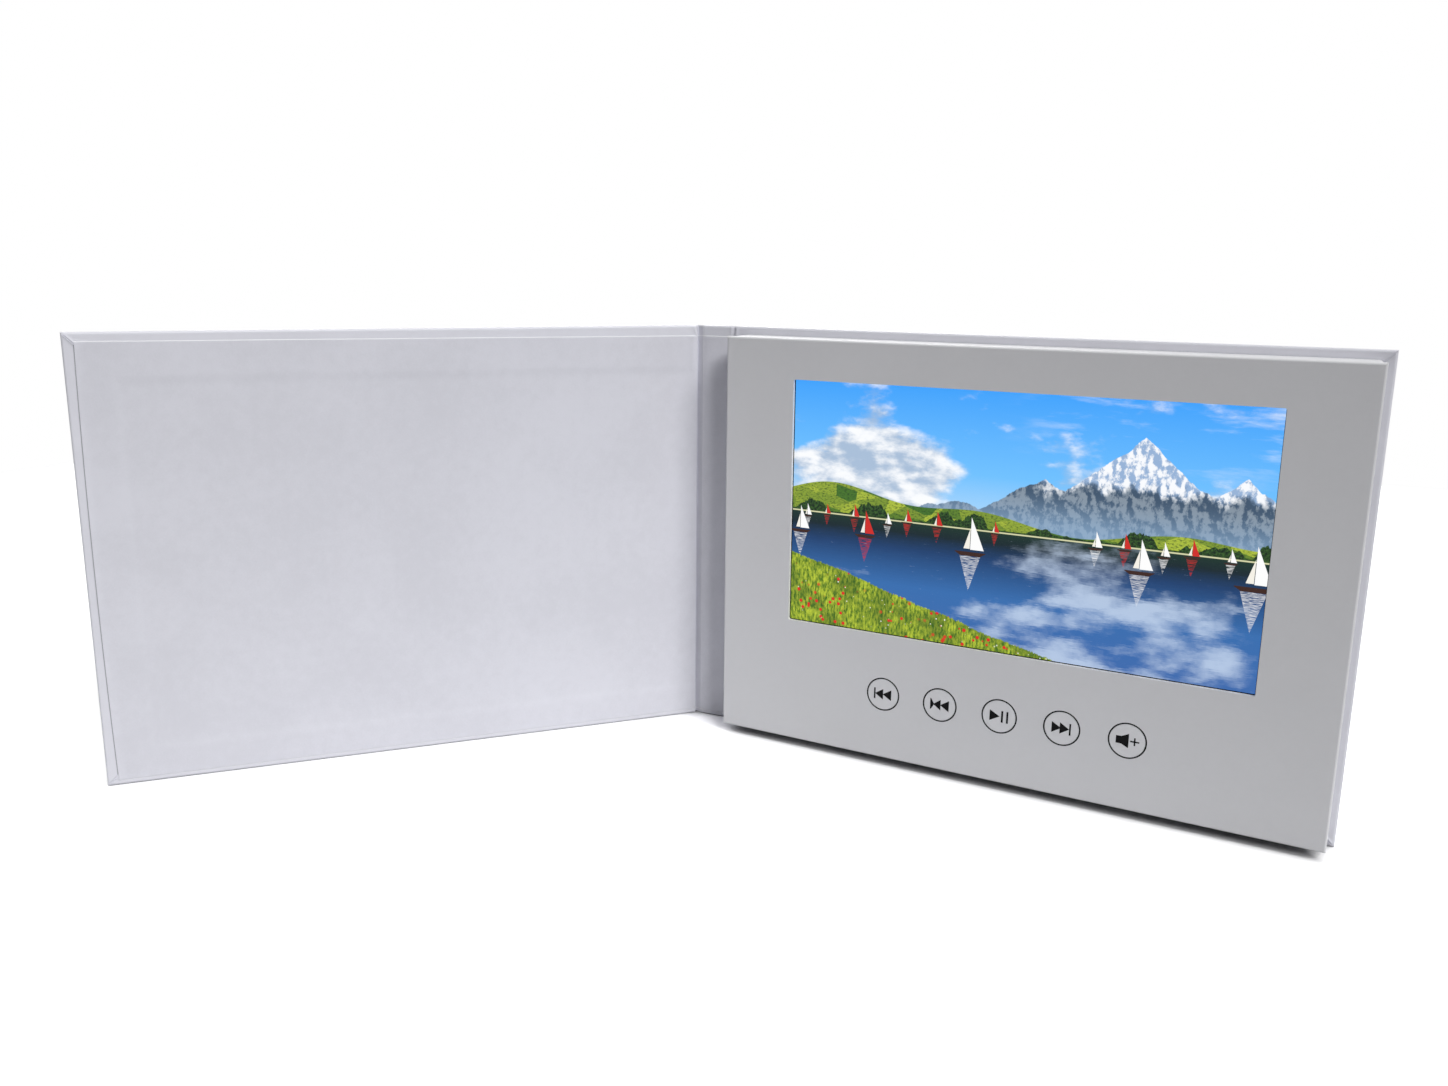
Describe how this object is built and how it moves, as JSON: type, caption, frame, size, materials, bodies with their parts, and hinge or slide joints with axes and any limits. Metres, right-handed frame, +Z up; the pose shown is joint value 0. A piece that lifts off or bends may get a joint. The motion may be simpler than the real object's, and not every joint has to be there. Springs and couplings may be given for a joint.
{
  "type": "lcd video brochure",
  "caption": "Case-bound video brochure: hinged cover, spine and a thick screen module with round push buttons, standing open on its lower edges.",
  "frame": {"origin": "middle of the back cover's foot: half its length, half its wrapped thickness, on the ground it stands on", "axes": "+X along the back cover from the spine to the fore edge, -Y the way the screen faces, +Z up, parallel to both hinge axes"},
  "size_m": [0.3606, 0.1637, 0.1503],
  "materials": {
    "greyboard": "raw grey binder's board",
    "cover_paper": "matt laminated white art paper",
    "liner_paper": "uncoated white endpaper with a fine tooth",
    "face_board": "white-lined card",
    "face_paper": "matt laminated white art paper",
    "button_paper": "matt laminated white art paper on card",
    "adhesive": "double-sided tape",
    "screen_glass": null,
    "pan_steel": "pressed sheet",
    "light_guide": "clear moulded acrylic",
    "ribbon": "polyimide film",
    "circuit_board": "solder mask",
    "chip": "moulded epoxy",
    "socket_steel": "tinned pressed shell",
    "socket_plastic": "moulded nylon",
    "reed_glass": "moulded sleeve over a reed switch",
    "magnet": "nickel-plated magnet",
    "battery_foil": "embossed pouch foil",
    "battery_tape": "amber tape",
    "wire": "insulated stranded wire",
    "speaker_plastic": "moulded frame",
    "speaker_film": "pressed film cone",
    "switch_plastic": "moulded switch bodies",
    "stem_plastic": "moulded plunger",
    "spacer_board": "die-cut layered board"
  },
  "bodies": {
    "back_cover": {"back_board": "greyboard", "back_card": "greyboard", "back_cover_wrap": "cover_paper", "back_endpaper": "liner_paper", "back_gutter": "liner_paper", "backlight_pan": "pan_steel", "battery": "battery_foil", "battery_tape": "battery_tape", "battery_wires": "wire", "button_board": "circuit_board", "button_cable": "ribbon", "component_spacer": "spacer_board", "display_flex": "ribbon", "display_glass": "screen_glass", "display_spacer": "spacer_board", "display_tape": "adhesive", "face_card": "face_board", "face_paper": "face_paper", "light_guide": "light_guide", "main_board": "circuit_board", "memory_chip": "chip", "module_adhesive": "adhesive", "processor_chip": "chip", "reed_switch": "reed_glass", "speaker_cone": "speaker_film", "speaker_frame": "speaker_plastic", "speaker_magnet": "magnet", "speaker_wires": "wire", "tact_switches": "switch_plastic", "tray_paper": "face_paper", "tray_wall": "face_board", "usb_socket": "socket_steel", "wire_sockets": "socket_plastic"},
    "spine": {"spine_board": "greyboard", "spine_wrap": "cover_paper", "spine_liner": "liner_paper", "front_gutter": "liner_paper"},
    "front_cover": {"front_board": "greyboard", "front_cover_wrap": "cover_paper", "front_endpaper": "liner_paper", "closure_magnet": "magnet"},
    "skip_back_button": {"skip_back_button": "button_paper", "skip_back_stem": "stem_plastic"},
    "rewind_button": {"rewind_button": "button_paper", "rewind_stem": "stem_plastic"},
    "play_button": {"play_button": "button_paper", "play_stem": "stem_plastic"},
    "skip_forward_button": {"skip_forward_button": "button_paper", "skip_forward_stem": "stem_plastic"},
    "volume_button": {"volume_button": "button_paper", "volume_stem": "stem_plastic"}
  },
  "joints": [
    {"name": "back_hinge", "type": "hinge", "parent": "back_cover", "child": "spine", "pos_m": [-0.1056, -0.00145, 0], "axis": [0, 0, -1], "range_deg": [-86.6, 33.4], "deforming": ["back_gutter"]},
    {"name": "front_hinge", "type": "hinge", "parent": "spine", "child": "front_cover", "pos_m": [-0.11898, -0.00224, 0], "axis": [0, 0, -1], "range_deg": [-43.5, 76.5], "deforming": ["front_gutter"]},
    {"name": "skip_back_press", "type": "slide", "parent": "back_cover", "child": "skip_back_button", "axis": [0, 1, 0], "range_m": [0, 0.00025], "stiffness_N_per_m": 1600},
    {"name": "rewind_press", "type": "slide", "parent": "back_cover", "child": "rewind_button", "axis": [0, 1, 0], "range_m": [0, 0.00025], "stiffness_N_per_m": 1600},
    {"name": "play_press", "type": "slide", "parent": "back_cover", "child": "play_button", "axis": [0, 1, 0], "range_m": [0, 0.00025], "stiffness_N_per_m": 1600},
    {"name": "skip_forward_press", "type": "slide", "parent": "back_cover", "child": "skip_forward_button", "axis": [0, 1, 0], "range_m": [0, 0.00025], "stiffness_N_per_m": 1600},
    {"name": "volume_press", "type": "slide", "parent": "back_cover", "child": "volume_button", "axis": [0, 1, 0], "range_m": [0, 0.00025], "stiffness_N_per_m": 1600}
  ]
}
